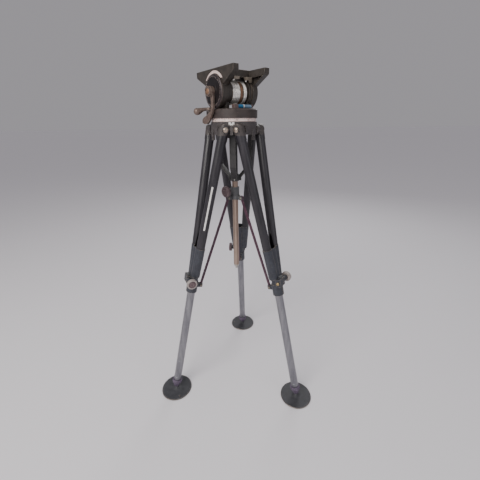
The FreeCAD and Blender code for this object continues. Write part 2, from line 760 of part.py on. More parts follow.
def make_yoke(name, frame):
    """Leg casting: tube sockets, sliding sleeve, clamp ears and spreader bracket."""
    lock_z = -d.lock_along
    arm_z = -d.arm_outer_along
    additions = [
        cylinder(d.yoke_sleeve, d.yoke_bottom - d.yoke_top, 0, 0, -d.yoke_bottom),
        cylinder(d.yoke_collar, 40, 0, 0, -d.yoke_bottom),
        along_x(-d.knob_seat + 0.5, 0, 9, d.lock_out, lock_z),
        box((-10, 8, lock_z - 12), (20, d.lock_out + 9, lock_z + 14)),
        box((-5.6, -36, arm_z - 7), (-2.6, 0, arm_z + 7)),
        box((2.6, -36, arm_z - 7), (5.6, 0, arm_z + 7)),
        along_x(-7.2, 7.2, 3, -d.arm_outer_in, arm_z),
    ]
    for side in (-1, 1):
        additions.append(upper_tube(side, d.socket_radius, d.yoke_top, d.tube_end + 22))
    cuts = [
        cylinder(d.relief_radius, 120, 0, 0, -d.yoke_bottom + 66),
        cylinder(d.lower_radius + d.fit_gap, 120, 0, 0, -d.yoke_bottom - 10),
        along_x(-d.knob_seat - 1, 30, d.lock_screw_radius + d.fit_gap, d.lock_out, lock_z),
        box((-1, 13, -d.yoke_bottom - 1), (1, 40, lock_z + 20)),
    ]
    for side in (-1, 1):
        cuts.append(upper_tube(side, d.tube_radius, d.yoke_top - 10, d.tube_end))
    node(name + "_yoke", cut(fused(additions), cuts), frame)


def make_lower_leg(name, frame):
    length = d.lower_bottom - d.lower_top
    tube = cut(
        cylinder(d.lower_radius, length, 0, 0, -d.lower_bottom),
        [cylinder(d.lower_radius - d.tube_wall, length + 2, 0, 0, -d.lower_bottom - 1)])
    node(name + "_lower_tube", tube, frame)
    ball_along = (d.pivot_height.value - d.ball_height.value) / math.cos(
        math.radians(d.leg_lean.value))
    boot = turned([
        (0, -2.5 - ball_along),
        (10.5, -2.5 - ball_along),
        (12.5, 3 - ball_along),
        (18, 18 - ball_along),
        (18, 31 - ball_along),
        (0, 31 - ball_along),
    ])
    cuts = [
        ball(d.ball_radius + 0.08, 0, 0, -ball_along),
        cylinder(d.lower_radius, 40, 0, 0, -d.lower_bottom),
    ]
    node(name + "_boot", cut(boot, cuts), frame)


def make_leg_knob(name, frame):
    lock_z = -d.lock_along
    knob = fused([
        along_x(-d.knob_seat - d.knob_thickness, -d.knob_seat, d.knob_radius, d.lock_out, lock_z),
        along_x(-d.knob_seat - 1, 23, d.lock_screw_radius, d.lock_out, lock_z),
        along_x(20.3, 25, 5, d.lock_out, lock_z),
    ])
    node(name + "_lock_knob", knob, frame)


def make_foot(name, azimuth):
    radial = d.pivot_radius.value + (
        d.pivot_height.value - d.ball_height.value) * math.tan(math.radians(d.leg_lean.value))
    pad = turned([
        (0, 0),
        (d.pad_radius, 0),
        (d.pad_radius, d.pad_thickness - 1),
        (d.pad_radius - 1, d.pad_thickness),
        (15, d.pad_thickness),
        (6, 9),
        (5, 9.5),
        (5, d.ball_height),
        (0, d.ball_height),
    ])
    foot = fused([pad, ball(d.ball_radius, 0, 0, d.ball_height)])
    slot = box((-48, -4, -1), (-45, 4, 8))
    place = leg_turn(azimuth).multiply(Placement(Vector(0, radial, 0), Rotation()))
    node(name + "_foot_pad", cut(foot, [slot]), place)


def make_arm(name, frame):
    """Flat spreader arm from the leg casting's bracket up to the collar."""
    half = d.arm_width / 2
    bar = box((-d.arm_thickness / 2, -half, 0), (d.arm_thickness / 2, half, d.arm_length - 7))
    outer_eye = along_x(-d.arm_thickness / 2, d.arm_thickness / 2, 6.5, 0, 0)
    eye_hole = d.collar_pin + d.eye_clearance
    inner_eye = along_x(-d.arm_thickness / 2, d.arm_thickness / 2, eye_hole + 2.2,
                        0, d.arm_length)
    holes = [
        along_x(-5, 5, 3 + d.fit_gap, 0, 0),
        along_x(-5, 5, eye_hole, 0, d.arm_length),
    ]
    lean = Rotation(Vector(1, 0, 0), d.arm_angle.value - d.leg_lean.value)
    place = Placement(Vector(0, -d.arm_outer_in.value, -d.arm_outer_along.value), lean)
    node(name + "_spreader_arm", cut(fused([bar, outer_eye, inner_eye]), holes),
         frame.multiply(place))


make_hub()
make_cage()
make_column()
make_pan_bearing()
make_pivot_bolts()
make_turntable()
make_uprights()
make_axle()
make_springs()
make_level()
make_cradle()
make_levers()
make_collar()
for leg_name, leg_azimuth in LEG_AZIMUTHS.items():
    its_frame = leg_frame(leg_azimuth)
    make_upper_leg(leg_name, its_frame)
    make_yoke(leg_name, its_frame)
    make_lower_leg(leg_name, its_frame)
    make_leg_knob(leg_name, its_frame)
    make_foot(leg_name, leg_azimuth)
    make_arm(leg_name, its_frame)

document.recompute()

for thing in document.Objects:
    if "Invalid" in thing.State or "Error" in thing.State:
        raise RuntimeError("%s failed: %s" % (thing.Name, thing.State))
for thing in nodes:
    if thing.Shape.isNull() or not thing.Shape.isValid():
        raise RuntimeError("%s has no valid shape" % thing.Label)

os.makedirs("parts", exist_ok=True)
for thing in nodes:
    thing.Shape.exportStep("parts/%s.step" % thing.Label)
    print("%-24s solids %d  volume %.0f mm3" % (thing.Label, len(thing.Shape.Solids), thing.Shape.Volume))
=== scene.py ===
import bmesh
import bpy
import json
import math
from mathutils import Matrix, Vector


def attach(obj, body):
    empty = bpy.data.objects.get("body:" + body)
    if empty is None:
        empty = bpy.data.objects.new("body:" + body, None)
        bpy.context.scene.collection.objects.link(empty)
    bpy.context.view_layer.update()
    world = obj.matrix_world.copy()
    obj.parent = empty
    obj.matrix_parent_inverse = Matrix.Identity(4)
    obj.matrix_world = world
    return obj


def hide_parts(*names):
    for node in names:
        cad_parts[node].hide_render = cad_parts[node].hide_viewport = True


# Heavy tripod with a spring-balanced pan and tilt head.
# Shapes are drawn in millimetres in a local frame, then placed in metres in the row frame.

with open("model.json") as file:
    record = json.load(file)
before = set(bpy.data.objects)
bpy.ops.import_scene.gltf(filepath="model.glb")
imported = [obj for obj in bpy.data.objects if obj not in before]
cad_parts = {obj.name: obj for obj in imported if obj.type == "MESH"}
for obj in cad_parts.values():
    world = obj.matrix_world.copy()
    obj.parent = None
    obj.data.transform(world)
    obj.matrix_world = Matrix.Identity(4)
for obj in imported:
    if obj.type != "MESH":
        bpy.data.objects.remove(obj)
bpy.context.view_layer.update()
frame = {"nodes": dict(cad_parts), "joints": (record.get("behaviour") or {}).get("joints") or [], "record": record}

MM = 0.001
LEGS = ("rear", "left", "right")
JOINTS = {joint["name"]: joint for joint in frame["joints"]}


# ---------------------------------------------------------------- local frames

def local_frame(origin, x_axis, z_axis):
    """A frame from its origin and two of its axes, as a matrix that also scales mm to metres."""
    x = Vector(x_axis).normalized()
    z = Vector(z_axis).normalized()
    y = z.cross(x)
    rotation = Matrix((x, y, z)).transposed().to_4x4()
    return Matrix.Translation(Vector(origin)) @ rotation @ Matrix.Scale(MM, 4)


UP = Vector((0, 0, 1))
ROW = local_frame((0, 0, 0), (1, 0, 0), UP)
HEAD = local_frame((0, 0, 0), JOINTS["tilt"]["axis"], UP)
LEG = {
    name: local_frame(
        JOINTS[name + "_leg_swing"]["pos_m"],
        JOINTS[name + "_leg_swing"]["axis"],
        JOINTS[name + "_leg_slide"]["axis"])
    for name in LEGS
}
ALONG_X = Matrix.Rotation(math.radians(90), 4, "Y")


def span(node, place=ROW):
    """Lowest and highest corner of a CAD node in a local frame, in millimetres."""
    inverse = place.inverted()
    points = [inverse @ vertex.co for vertex in frame["nodes"][node].data.vertices]
    low = Vector([min(point[i] for point in points) for i in range(3)])
    high = Vector([max(point[i] for point in points) for i in range(3)])
    return low, high


def axle_height():
    """Height of the tilt axis."""
    low, high = span("tilt_axle", HEAD)
    return (low.z + high.z) / 2


def at(x=0.0, y=0.0, z=0.0):
    """A move along the local axes."""
    return Matrix.Translation((x, y, z))


def axis_x(x=0.0, y=0.0, z=0.0):
    """Turn a lathed shape so that its axis runs along X from a point."""
    return at(x, y, z) @ ALONG_X


def facing(side):
    """Half a turn about Z for the side towards -X, and none for the side towards +X."""
    return Matrix.Identity(4) if side > 0 else Matrix.Rotation(math.pi, 4, "Z")


# ---------------------------------------------------------------- materials

def new_material(name):
    """An empty material with its node tree and shader."""
    material = bpy.data.materials.new(name)
    material.use_nodes = True
    tree = material.node_tree
    return material, tree, tree.nodes["Principled BSDF"]


def add(tree, kind, **values):
    """Add a node and set its properties and inputs by name."""
    node = tree.nodes.new(kind)
    for key, value in values.items():
        if hasattr(node, key):
            setattr(node, key, value)
        else:
            node.inputs[key.replace("_", " ")].default_value = value
    return node


def math_node(tree, operation, first, second):
    """Join two values or numbers with an operation."""
    node = tree.nodes.new("ShaderNodeMath")
    node.operation = operation
    for index, value in enumerate((first, second)):
        if isinstance(value, (int, float)):
            node.inputs[index].default_value = value
        else:
            tree.links.new(value, node.inputs[index])
    return node.outputs[0]


def noise(tree, vector, scale, detail=4.0, roughness=0.6):
    """Cloudy noise over the piece."""
    node = add(tree, "ShaderNodeTexNoise", Scale=scale, Detail=detail, Roughness=roughness)
    tree.links.new(vector, node.inputs["Vector"])
    return node.outputs["Fac"]


def spread(tree, value, low, high, to_low=0.0, to_high=1.0):
    """Map a range of a value to another, clamped."""
    node = add(tree, "ShaderNodeMapRange", clamp=True)
    tree.links.new(value, node.inputs["Value"])
    for name, number in (("From Min", low), ("From Max", high), ("To Min", to_low), ("To Max", to_high)):
        node.inputs[name].default_value = number
    return node.outputs["Result"]


def blend_colour(tree, amount, first, second):
    """Mix two colours, each a tuple or another node's output."""
    node = tree.nodes.new("ShaderNodeMix")
    node.data_type = "RGBA"
    tree.links.new(amount, node.inputs[0])
    for socket, value in ((node.inputs[6], first), (node.inputs[7], second)):
        if isinstance(value, tuple):
            socket.default_value = (*value, 1.0)
        else:
            tree.links.new(value, socket)
    return node.outputs[2]


def object_vector(tree, stretch):
    """Position on the piece, in metres, with a stretch for grain that runs one way."""
    place = tree.nodes.new("ShaderNodeTexCoord")
    mapping = tree.nodes.new("ShaderNodeMapping")
    mapping.inputs["Scale"].default_value = stretch
    tree.links.new(place.outputs["Object"], mapping.inputs["Vector"])
    return mapping.outputs["Vector"]


def edge_mask(tree, width):
    """1 on sharp convex or concave edges, 0 on flats."""
    soft = add(tree, "ShaderNodeBevel", samples=6, Radius=width)
    sharp = tree.nodes.new("ShaderNodeNewGeometry")
    dot = tree.nodes.new("ShaderNodeVectorMath")
    dot.operation = "DOT_PRODUCT"
    tree.links.new(soft.outputs["Normal"], dot.inputs[0])
    tree.links.new(sharp.outputs["Normal"], dot.inputs[1])
    return spread(tree, dot.outputs["Value"], 0.99, 0.86)


def surface(name, dark, light, metallic=0.0, rough=(0.4, 0.6), scale=90.0, bump=0.15,
            grain=900.0, worn=None, wear=0.5, chips=0.0, stretch=(1.0, 1.0, 1.0), coat=0.0):
    """Paint, metal or plastic: mottled colour, fine grain, and wear on edges and in chips."""
    material, tree, shader = new_material(name)
    vector = object_vector(tree, stretch)
    broad = noise(tree, vector, scale)
    fine = noise(tree, vector, grain, 3.0, 0.7)
    mottled = math_node(tree, "ADD", math_node(tree, "MULTIPLY", broad, 0.7),
                        math_node(tree, "MULTIPLY", fine, 0.3))
    colour = blend_colour(tree, spread(tree, mottled, 0.36, 0.64), dark, light)
    if worn:
        patchy = noise(tree, vector, scale * 2.2, 5.0, 0.7)
        amount = math_node(tree, "MULTIPLY", edge_mask(tree, 0.0016),
                           spread(tree, patchy, 0.66 - 0.4 * wear, 0.74 - 0.3 * wear))
        if chips:
            spots = noise(tree, vector, scale * 3.5, 2.0, 0.5)
            amount = math_node(tree, "MAXIMUM", amount,
                               spread(tree, spots, 0.80 - 0.12 * chips, 0.83 - 0.12 * chips))
        colour = blend_colour(tree, amount, colour, worn)
    tree.links.new(colour, shader.inputs["Base Color"])
    shader.inputs["Metallic"].default_value = metallic
    tree.links.new(spread(tree, mottled, 0.35, 0.65, rough[0], rough[1]), shader.inputs["Roughness"])
    if coat:
        shader.inputs["Coat Weight"].default_value = coat
        shader.inputs["Coat Roughness"].default_value = 0.25
    relief = add(tree, "ShaderNodeBump", Strength=bump, Distance=0.0004)
    tree.links.new(fine, relief.inputs["Height"])
    tree.links.new(relief.outputs["Normal"], shader.inputs["Normal"])
    return material


CAST = surface("cast_black", (0.020, 0.016, 0.013), (0.042, 0.034, 0.028), rough=(0.42, 0.62),
               bump=0.35, grain=1400.0, worn=(0.40, 0.34, 0.28), wear=0.75, chips=0.2)
TABLE = surface("table_brown", (0.022, 0.016, 0.015), (0.046, 0.033, 0.030), rough=(0.42, 0.6),
                bump=0.35, grain=1300.0, worn=(0.30, 0.25, 0.22), wear=0.5, chips=0.35)
HUB = surface("hub_dark", (0.036, 0.031, 0.032), (0.070, 0.059, 0.059), rough=(0.42, 0.62),
              bump=0.4, grain=1200.0, worn=(0.28, 0.26, 0.24), wear=0.5, chips=0.3)
LEG_PAINT = surface("leg_casting_paint", (0.020, 0.022, 0.030), (0.044, 0.048, 0.061),
                    rough=(0.36, 0.55), bump=0.35, grain=1200.0,
                    worn=(0.36, 0.30, 0.23), wear=0.65, chips=0.55)
FITTING = surface("fitting_brown", (0.036, 0.030, 0.029), (0.068, 0.057, 0.054), rough=(0.45, 0.62),
                  bump=0.4, grain=1100.0, worn=(0.34, 0.29, 0.25), wear=0.7, chips=0.2)
COLLAR = surface("collar_grey", (0.060, 0.062, 0.066), (0.105, 0.107, 0.112), rough=(0.42, 0.58),
                 bump=0.35, grain=1100.0, worn=(0.30, 0.28, 0.26), wear=0.5, chips=0.2)
TUBE_BLACK = surface("tube_black", (0.012, 0.011, 0.014), (0.030, 0.027, 0.033), rough=(0.30, 0.42),
                     scale=40.0, bump=0.06, stretch=(1.0, 1.0, 0.25),
                     worn=(0.18, 0.16, 0.15), wear=0.3, chips=0.12)
TUBE_BRIGHT = surface("tube_bright", (0.205, 0.205, 0.224), (0.341, 0.338, 0.360), metallic=1.0,
                      rough=(0.32, 0.5), scale=70.0, bump=0.12, grain=1500.0,
                      stretch=(1.0, 1.0, 0.12))
COLUMN = surface("column_satin", (0.291, 0.207, 0.165), (0.452, 0.347, 0.284), metallic=0.85,
                 rough=(0.28, 0.42), scale=60.0, bump=0.08, stretch=(1.0, 1.0, 0.15))
STEEL = surface("plain_steel", (0.38, 0.36, 0.33), (0.58, 0.55, 0.50), metallic=1.0,
                rough=(0.28, 0.45), bump=0.15)
DOME = surface("bolt_dome", (0.34, 0.28, 0.23), (0.54, 0.45, 0.37), metallic=0.8,
               rough=(0.26, 0.40), bump=0.1)
WORN_METAL = surface("worn_metal", (0.128, 0.092, 0.077), (0.230, 0.170, 0.143), metallic=0.55,
                     rough=(0.38, 0.55), scale=120.0, bump=0.3,
                     worn=(0.48, 0.43, 0.38), wear=0.6, chips=0.3)
DISC_FACE = surface("disc_face", (0.007, 0.005, 0.006), (0.015, 0.011, 0.012), metallic=0.3,
                    rough=(0.34, 0.5), bump=0.15)
DISC_SIDE = surface("disc_side", (0.015, 0.010, 0.012), (0.035, 0.025, 0.027), metallic=0.3,
                    rough=(0.36, 0.5), bump=0.2, worn=(0.30, 0.23, 0.19), wear=0.6)
DISC_RIM = surface("disc_rim", (0.17, 0.14, 0.12), (0.40, 0.33, 0.28), metallic=0.7,
                   rough=(0.35, 0.5), bump=0.2)
SPRING = surface("spring_wire", (0.80, 0.77, 0.72), (0.95, 0.93, 0.89), metallic=0.7,
                 rough=(0.24, 0.38), scale=160.0, bump=0.15)
SPRING_CORE = surface("spring_core", (0.10, 0.085, 0.075), (0.16, 0.14, 0.12), metallic=0.5,
                      rough=(0.4, 0.6), bump=0.2)
PLATE_BROWN = surface("plate_brown", (0.16, 0.085, 0.05), (0.30, 0.17, 0.10), metallic=0.3,
                      rough=(0.4, 0.6), bump=0.2)
BRASS = surface("dull_brass", (0.34, 0.24, 0.11), (0.55, 0.41, 0.20), metallic=0.9,
                rough=(0.3, 0.45), bump=0.1)
ANCHOR = surface("anchor_metal", (0.186, 0.157, 0.127), (0.298, 0.255, 0.209), metallic=0.6,
                 rough=(0.35, 0.5), bump=0.15)
STRAP = surface("strap_dark", (0.022, 0.021, 0.022), (0.046, 0.044, 0.044), rough=(0.55, 0.7),
                bump=0.2, worn=(0.30, 0.28, 0.26), wear=0.8)
SCALE_WHITE = surface("scale_white", (0.739, 0.582, 0.536), (0.941, 0.766, 0.714), metallic=0.25,
                      rough=(0.35, 0.5), scale=70.0, bump=0.08)
# Dark print for ticks, numbers and vial rings, also used as painted shade in screw slots, the pointer notch and
# the pad slot.
DARK_PRINT_AND_SHADE = surface("dark_print_and_shade", (0.03, 0.025, 0.025), (0.06, 0.05, 0.05), bump=0.05)
MARK_RED = surface("mark_red", (0.42, 0.06, 0.06), (0.55, 0.11, 0.10), bump=0.05)
WHITE_PAINT = surface("white_paint", (0.66, 0.64, 0.62), (0.84, 0.82, 0.80), bump=0.1)
LEVEL_BLOCK = surface("level_block", (0.071, 0.047, 0.043), (0.121, 0.083, 0.076), rough=(0.4, 0.55),
                      bump=0.25, worn=(0.35, 0.30, 0.27), wear=0.5)
VIAL_BLUE = surface("vial_blue", (0.006, 0.090, 0.220), (0.015, 0.170, 0.340), rough=(0.10, 0.18),
                    scale=50.0, bump=0.02, coat=0.6)
VIAL_PALE = surface("vial_pale", (0.096, 0.185, 0.285), (0.183, 0.272, 0.370), rough=(0.10, 0.18),
                    scale=50.0, bump=0.02, coat=0.6)
MAROON = surface("arm_maroon", (0.040, 0.014, 0.027), (0.078, 0.030, 0.052), rough=(0.34, 0.5),
                 scale=70.0, bump=0.12, worn=(0.22, 0.15, 0.16), wear=0.4)
KNOB_FACE = surface("knob_face", (0.070, 0.044, 0.050), (0.13, 0.085, 0.092), rough=(0.35, 0.5),
                    bump=0.15, worn=(0.36, 0.29, 0.27), wear=0.5)
KNOB_RIM = surface("knob_rim", (0.24, 0.21, 0.20), (0.42, 0.37, 0.35), rough=(0.35, 0.5),
                   scale=120.0, bump=0.2)
KNOB_DARK = surface("knob_dark", (0.022, 0.020, 0.021), (0.045, 0.041, 0.042), rough=(0.35, 0.5),
                    bump=0.2)
BOOT = surface("boot_rubber", (0.069, 0.050, 0.080), (0.126, 0.099, 0.149), rough=(0.55, 0.75),
               scale=110.0, bump=0.35)
PAD = surface("pad_rubber", (0.030, 0.031, 0.035), (0.056, 0.057, 0.064), rough=(0.45, 0.65),
              scale=70.0, bump=0.35, worn=(0.26, 0.25, 0.25), wear=0.6, chips=0.15)
BALL = surface("ball_dark", (0.02, 0.02, 0.022), (0.045, 0.044, 0.046), metallic=0.5,
               rough=(0.3, 0.45), bump=0.1)


# ---------------------------------------------------------------- mesh builder

class Shape:
    """Collects geometry in millimetres, then makes one piece of it."""

    def __init__(self, place):
        self.place = place
        self.mesh = bmesh.new()
        self.materials = []

    def paint(self, faces, material):
        """Give faces a material, and add it to the piece's list the first time."""
        if material not in self.materials:
            self.materials.append(material)
        for face in faces:
            face.material_index = self.materials.index(material)

    def lathe(self, profile, material, place=Matrix(), steps=64, closed=False, ripple=None):
        """Turn (radius, height) points about Z. A ripple is (count, depth, lowest radius)."""
        rings = []
        for radius, height in profile:
            if radius < 1e-6:
                rings.append([self.mesh.verts.new(place @ Vector((0, 0, height)))])
                continue
            ring = []
            for step in range(steps):
                angle = 2 * math.pi * step / steps
                reach = radius
                if ripple and radius >= ripple[2]:
                    reach -= ripple[1] * (0.5 + 0.5 * math.cos(ripple[0] * angle))
                point = Vector((reach * math.cos(angle), reach * math.sin(angle), height))
                ring.append(self.mesh.verts.new(place @ point))
            rings.append(ring)
        pairs = list(zip(rings, rings[1:]))
        if closed:
            pairs.append((rings[-1], rings[0]))
        faces = []
        for lower, upper in pairs:
            for step in range(steps):
                following = (step + 1) % steps
                corners = [lower[step % len(lower)], lower[following % len(lower)],
                           upper[following % len(upper)], upper[step % len(upper)]]
                corners = list(dict.fromkeys(corners))
                if len(corners) > 2:
                    faces.append(self.mesh.faces.new(corners))
        self.paint(faces, material)

    def prism(self, outline, start, end, material, place=Matrix()):
        """Extrude a closed (Y, Z) outline along X from start to end."""
        near = [self.mesh.verts.new(place @ Vector((start, y, z))) for y, z in outline]
        far = [self.mesh.verts.new(place @ Vector((end, y, z))) for y, z in outline]
        faces = [self.mesh.faces.new(near), self.mesh.faces.new(far[::-1])]
        for index in range(len(outline)):
            after = (index + 1) % len(outline)
            faces.append(self.mesh.faces.new([near[index], far[index], far[after], near[after]]))
        self.paint(faces, material)

    def block(self, low, high, material, place=Matrix()):
        """A box between two corners."""
        outline = [(low[1], low[2]), (high[1], low[2]), (high[1], high[2]), (low[1], high[2])]
        self.prism(outline, low[0], high[0], material, place)

    def rod(self, points, radius, material, steps=12):
        """A round bar along a path, with one radius or one for each point, and flat ends."""
        radii = radius if isinstance(radius, list) else [radius] * len(points)
        rings = []
        side = None
        for index, point in enumerate(points):
            before = points[max(index - 1, 0)]
            after = points[min(index + 1, len(points) - 1)]
            along = (after - before).normalized()
            if side is None:
                side = along.orthogonal().normalized()
            side = (side - along * side.dot(along)).normalized()
            other = along.cross(side)
            ring = []
            for step in range(steps):
                angle = 2 * math.pi * step / steps
                offset = side * math.cos(angle) + other * math.sin(angle)
                ring.append(self.mesh.verts.new(point + offset * radii[index]))
            rings.append(ring)
        faces = [self.mesh.faces.new(rings[0][::-1]), self.mesh.faces.new(rings[-1])]
        for lower, upper in zip(rings, rings[1:]):
            for step in range(steps):
                after = (step + 1) % steps
                faces.append(self.mesh.faces.new(
                    [lower[step], lower[after], upper[after], upper[step]]))
        self.paint(faces, material)

    def piece(self, name, body, bevel=0.0, replaces=()):
        """Finish the shape as a visible piece that rides on a body."""
        self.mesh.transform(self.place)
        bmesh.ops.recalc_face_normals(self.mesh, faces=self.mesh.faces)
        mesh = bpy.data.meshes.new(name)
        self.mesh.to_mesh(mesh)
        self.mesh.free()
        for material in self.materials:
            mesh.materials.append(material)
        return finished(name, mesh, body, bevel, replaces)


SHARP = math.radians(32)


def finished(name, mesh, body, bevel, replaces):
    """Smooth shading with sharp edges rounded off, and the body and node that go with it."""
    mesh.shade_smooth()
    mesh.set_sharp_from_angle(angle=SHARP)
    thing = bpy.data.objects.new(name, mesh)
    bpy.context.scene.collection.objects.link(thing)
    if bevel:
        round_edges = thing.modifiers.new("round_edges", "BEVEL")
        round_edges.width = bevel * MM
        round_edges.segments = 2
        round_edges.limit_method = "ANGLE"
        round_edges.angle_limit = SHARP
        round_edges.harden_normals = True
    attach(thing, body)
    if replaces:
        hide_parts(*replaces)
    return thing


BODY_OF = {node: body for body, members in frame["record"]["behaviour"]["bodies"].items()
           for node in members}


def rounded_node(node, material, bevel):
    """Stand in for a CAD node with the same shape, its edges rounded off."""
    source = bmesh.new()
    source.from_mesh(frame["nodes"][node].data)
    bmesh.ops.remove_doubles(source, verts=source.verts, dist=1e-6)
    bmesh.ops.dissolve_limit(source, angle_limit=math.radians(1.0), verts=source.verts,
                             edges=source.edges)
    mesh = bpy.data.meshes.new(node + "_finish")
    source.to_mesh(mesh)
    source.free()
    mesh.materials.clear()
    mesh.materials.append(material)
    for polygon in mesh.polygons:
        polygon.material_index = 0
    return finished(mesh.name, mesh, BODY_OF[node], bevel, (node,))


def repaint_below(thing, place, point, normal, material):
    """Cut a stand-in's surface along a local plane and give the side below it another material."""
    mesh = thing.data
    mesh.materials.append(material)
    to_local = place.inverted()
    edited = bmesh.new()
    edited.from_mesh(mesh)
    bmesh.ops.bisect_plane(edited, geom=edited.verts[:] + edited.edges[:] + edited.faces[:],
                           plane_co=place @ point, plane_no=(place.to_3x3() @ normal).normalized())
    for face in edited.faces:
        if (to_local @ face.calc_center_median() - point).dot(normal) < 0:
            face.material_index = 1
    edited.to_mesh(mesh)
    edited.free()


# ---------------------------------------------------------------- shared details

def bolt_head(shape, place, radius, height):
    """A hexagonal head on a washer, standing on the local XY plane."""
    shape.lathe([(0, 0), (radius * 1.3, 0), (radius * 1.3, 0.7), (0, 0.7)], STEEL, place, 24)
    shape.lathe([(0, 0.7), (radius, 0.7), (radius, height - 0.4), (radius - 0.5, height),
                 (0, height)], STEEL, place, 6)


def slotted_screw(shape, place, radius, height=1.2):
    """A slotted cheese head, standing on the local XY plane; the slot is a dark bar of painted shade, not a cut.
    """
    shape.lathe([(0, 0), (radius, 0), (radius, height * 0.7), (radius * 0.8, height),
                 (0, height)], STEEL, place, 20)
    # Painted shade: a dark bar across the head stands for the shaded slot.
    shape.block((-radius * 0.85, -0.25, height * 0.6), (radius * 0.85, 0.25, height * 1.05),
                DARK_PRINT_AND_SHADE, place)


def rivet(shape, place, radius, height, material=STEEL):
    """A domed rivet head, standing on the local XY plane."""
    arc = [(radius * math.cos(angle), height * math.sin(angle))
           for angle in [math.radians(15 * step) for step in range(6)]]
    shape.lathe([(0, -0.2), (radius, -0.2)] + arc + [(0, height)], material, place, 24)


# ---------------------------------------------------------------- hub, cage and column

def make_hub():
    """Hub, cage, column and the pointer; inside the cage the column gets the dark strap colour as painted shade.
    """
    rounded_node("hub_casting", HUB, 1.0)
    rounded_node("cage_straps", STRAP, 0.7)
    rounded_node("cage_bush", STRAP, 0.8)
    column = rounded_node("centre_column", COLUMN, 0.3)
    # Painted shade: the column above the bush top is painted in the strap colour where the cage shades it.
    bush_top = span("cage_bush")[1]
    repaint_below(column, ROW, Vector((0, 0, bush_top.z)), Vector((0, 0, -1)), STRAP)
    rounded_node("column_end_plug", STEEL, 0.8)
    rounded_node("pan_stud", STEEL, 0.6)
    rounded_node("pan_thrust_washer", BRASS, 0.2)
    rounded_node("pan_pointer", WHITE_PAINT, 0.4)
    low, high = span("pan_pointer")
    # Painted shade: the pointer's notch is a dark block on its face, not a cut.
    notch = Shape(ROW)
    notch.block((-1.5, low.y - 0.1, high.z - 3.6), (1.5, low.y + 1, high.z + 0.1), DARK_PRINT_AND_SHADE)
    notch.piece("pan_pointer_notch", "hub")


def make_strap_rivets():
    """Two rivets through each cage strap into the bush."""
    low, high = span("cage_bush")
    rivets = Shape(ROW)
    radius = (high.x - low.x) / 2 + 3.6
    for azimuth in (270, 30, 150):
        for height in (low.z + 5, low.z + 13):
            turn = Matrix.Rotation(math.radians(azimuth), 4, "Z")
            rivet(rivets, turn @ axis_x(radius, 0, height), 2.2, 1.1)
    rivets.piece("cage_rivets", "hub")


def make_pivot_bolts():
    """Domed bolt heads with a dark washer, and plain shanks."""
    bolts = Shape(ROW)
    head_face = span("rear_tube_fittings", LEG["rear"])[1].x + 5.5
    start = head_face - 5
    head_radius = 7.6
    shank_length = 42
    dome = [((head_radius - 0.2) * math.cos(angle), start + 1.2 + 3.8 * math.sin(angle))
            for angle in [math.radians(12 * step) for step in range(8)]]
    to_row = ROW.inverted()
    for name in LEGS:
        for side in (-1, 1):
            place = to_row @ LEG[name] @ facing(side) @ ALONG_X
            bolts.lathe([(0, start), (head_radius, start), (head_radius, start + 1.0)] + dome
                        + [(0, head_face)], DOME, place, 32)
            bolts.lathe([(5.5, start - 0.4), (10.4, start - 0.4), (10.4, start + 0.1),
                         (10.0, start + 0.5), (5.5, start + 0.5)], KNOB_DARK, place, 40, closed=True)
            bolts.lathe([(0, start - shank_length), (5, start - shank_length), (5, start), (0, start)],
                        STEEL, place, 24)
    bolts.piece("leg_pivot_bolt_set", "hub", replaces=("leg_pivot_bolts",))


# ---------------------------------------------------------------- pan table, ring and level

def make_turntable():
    """Turntable, and the pan ring with its ticks and degrees."""
    rounded_node("turntable", TABLE, 1.4)
    low, high = span("pan_scale_ring", HEAD)
    radius = high.y
    ring = Shape(HEAD)
    bore = 40.0
    ring.lathe([(bore, low.z), (radius - 0.6, low.z), (radius, low.z + 0.6), (radius, high.z - 0.6),
                (radius - 0.6, high.z), (bore, high.z)], SCALE_WHITE, Matrix(), 144, closed=True)
    ring.piece("pan_ring_finish", "pan_head", replaces=("pan_scale_ring",))
    marks = Shape(HEAD)
    for degree in range(0, 360, 5):
        turn = Matrix.Rotation(math.radians(degree), 4, "Z")
        length = 4.6 if degree % 15 == 0 else 2.6
        top = high.z - 0.7
        marks.block((radius - 0.3, -0.22, top - length), (radius + 0.05, 0.22, top),
                    MARK_RED if degree % 45 == 0 else DARK_PRINT_AND_SHADE, turn)
    marks.piece("pan_ring_marks", "pan_head")
    numerals = Shape(HEAD)
    for degree in range(0, 360, 30):
        add_number(numerals, str(degree), degree, radius, low.z + 2.4)
    numerals.piece("pan_ring_numerals", "pan_head")


def add_number(shape, words, degree, radius, height):
    """Bend a small number round the ring, reading from outside."""
    curve = bpy.data.curves.new("number", "FONT")
    curve.body = words
    curve.size = 4.2
    curve.extrude = 0.06
    curve.align_x = "CENTER"
    helper = bpy.data.objects.new("number", curve)
    mesh = bpy.data.meshes.new_from_object(helper)
    added = bmesh.new()
    added.from_mesh(mesh)
    for vertex in added.verts:
        angle = math.radians(degree) + vertex.co.x / radius
        reach = radius - 0.02 + vertex.co.z
        vertex.co = Vector((reach * math.cos(angle), reach * math.sin(angle),
                            height + vertex.co.y))
    added.to_mesh(mesh)
    added.free()
    first = len(shape.mesh.faces)
    shape.mesh.from_mesh(mesh)
    shape.mesh.faces.ensure_lookup_table()
    shape.paint(shape.mesh.faces[first:], DARK_PRINT_AND_SHADE)
    bpy.data.objects.remove(helper)
    bpy.data.curves.remove(curve)
    bpy.data.meshes.remove(mesh)


